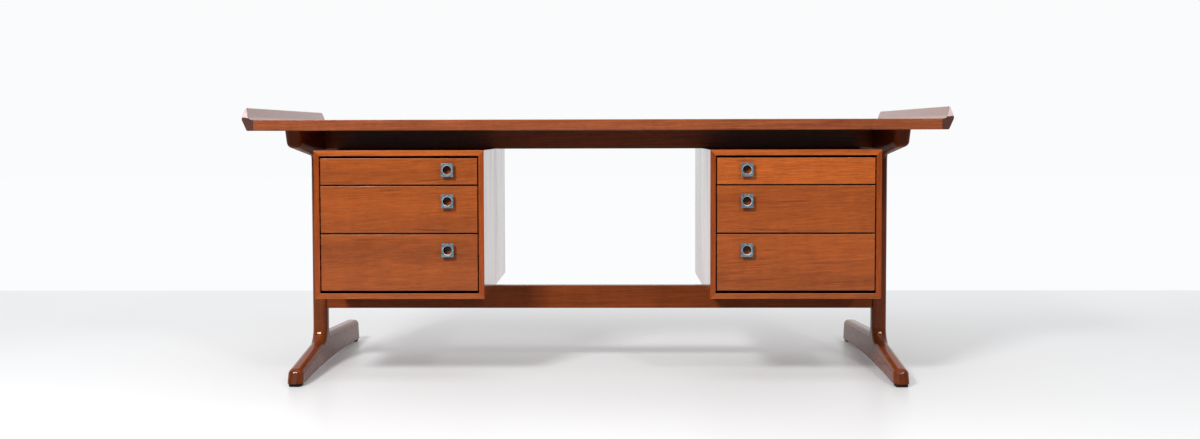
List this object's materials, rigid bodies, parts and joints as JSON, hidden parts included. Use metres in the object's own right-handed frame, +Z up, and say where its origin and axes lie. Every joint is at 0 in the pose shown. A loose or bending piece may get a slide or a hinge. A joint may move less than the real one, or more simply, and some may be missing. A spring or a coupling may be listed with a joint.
{
  "type": "executive desk",
  "caption": "Free-standing executive desk: broad top with raised end lips, sculpted end frames with splayed feet, and hanging drawer cases with ringed square pulls.",
  "frame": {"origin": "on the floor, under the middle of the desk's bounding box", "axes": "+X to the right as seen from the drawer side, +Y to the rear, +Z up"},
  "size_m": [1.8998, 0.85, 0.7655],
  "materials": {
    "case_veneer": "teak veneer with satin lacquer",
    "drawer_panel": "thin oak-faced plywood",
    "drawer_wood": "solid oak, waxed",
    "edge_wood": "solid teak with satin lacquer",
    "frame_wood": "solid teak, rounded and oiled",
    "front_veneer": "matched teak veneer with satin lacquer",
    "glide_plastic": "black moulded",
    "hardwood": "planed beech",
    "pull_metal": "brushed, with a bright chamfered rim",
    "rail_wood": "solid teak with satin lacquer",
    "screw_steel": "plain zinc-plated",
    "top_veneer": "teak veneer with satin lacquer"
  },
  "bodies": {
    "desk": {"case_screws": "screw_steel", "desktop_board": "top_veneer", "desktop_screws": "screw_steel", "end_board_splines": "hardwood", "foot_glides": "glide_plastic", "front_edge_strip": "edge_wood", "left_arm": "frame_wood", "left_case_back": "case_veneer", "left_case_bottom": "case_veneer", "left_case_inner_side": "case_veneer", "left_case_outer_side": "case_veneer", "left_case_top": "case_veneer", "left_drawer_runners": "hardwood", "left_end_board": "edge_wood", "left_foot": "frame_wood", "left_post": "frame_wood", "lower_rail": "rail_wood", "rear_edge_strip": "edge_wood", "right_arm": "frame_wood", "right_case_back": "case_veneer", "right_case_bottom": "case_veneer", "right_case_inner_side": "case_veneer", "right_case_outer_side": "case_veneer", "right_case_top": "case_veneer", "right_drawer_runners": "hardwood", "right_end_board": "edge_wood", "right_foot": "frame_wood", "right_post": "frame_wood", "upper_rail": "rail_wood"},
    "left_top_drawer": {"left_top_drawer_front": "front_veneer", "left_top_drawer_sides": "drawer_wood", "left_top_drawer_back": "drawer_wood", "left_top_drawer_bottom": "drawer_panel", "left_top_drawer_pull": "pull_metal"},
    "left_middle_drawer": {"left_middle_drawer_front": "front_veneer", "left_middle_drawer_sides": "drawer_wood", "left_middle_drawer_back": "drawer_wood", "left_middle_drawer_bottom": "drawer_panel", "left_middle_drawer_pull": "pull_metal"},
    "left_bottom_drawer": {"left_bottom_drawer_front": "front_veneer", "left_bottom_drawer_sides": "drawer_wood", "left_bottom_drawer_back": "drawer_wood", "left_bottom_drawer_bottom": "drawer_panel", "left_bottom_drawer_pull": "pull_metal"},
    "right_top_drawer": {"right_top_drawer_front": "front_veneer", "right_top_drawer_sides": "drawer_wood", "right_top_drawer_back": "drawer_wood", "right_top_drawer_bottom": "drawer_panel", "right_top_drawer_pull": "pull_metal"},
    "right_middle_drawer": {"right_middle_drawer_front": "front_veneer", "right_middle_drawer_sides": "drawer_wood", "right_middle_drawer_back": "drawer_wood", "right_middle_drawer_bottom": "drawer_panel", "right_middle_drawer_pull": "pull_metal"},
    "right_bottom_drawer": {"right_bottom_drawer_front": "front_veneer", "right_bottom_drawer_sides": "drawer_wood", "right_bottom_drawer_back": "drawer_wood", "right_bottom_drawer_bottom": "drawer_panel", "right_bottom_drawer_pull": "pull_metal"}
  },
  "joints": [
    {"name": "left_top_drawer_slide", "type": "slide", "parent": "desk", "child": "left_top_drawer", "axis": [0, -1, 0], "range_m": [0, 0.4]},
    {"name": "left_middle_drawer_slide", "type": "slide", "parent": "desk", "child": "left_middle_drawer", "axis": [0, -1, 0], "range_m": [0, 0.4]},
    {"name": "left_bottom_drawer_slide", "type": "slide", "parent": "desk", "child": "left_bottom_drawer", "axis": [0, -1, 0], "range_m": [0, 0.4]},
    {"name": "right_top_drawer_slide", "type": "slide", "parent": "desk", "child": "right_top_drawer", "axis": [0, -1, 0], "range_m": [0, 0.4]},
    {"name": "right_middle_drawer_slide", "type": "slide", "parent": "desk", "child": "right_middle_drawer", "axis": [0, -1, 0], "range_m": [0, 0.4]},
    {"name": "right_bottom_drawer_slide", "type": "slide", "parent": "desk", "child": "right_bottom_drawer", "axis": [0, -1, 0], "range_m": [0, 0.4]}
  ]
}
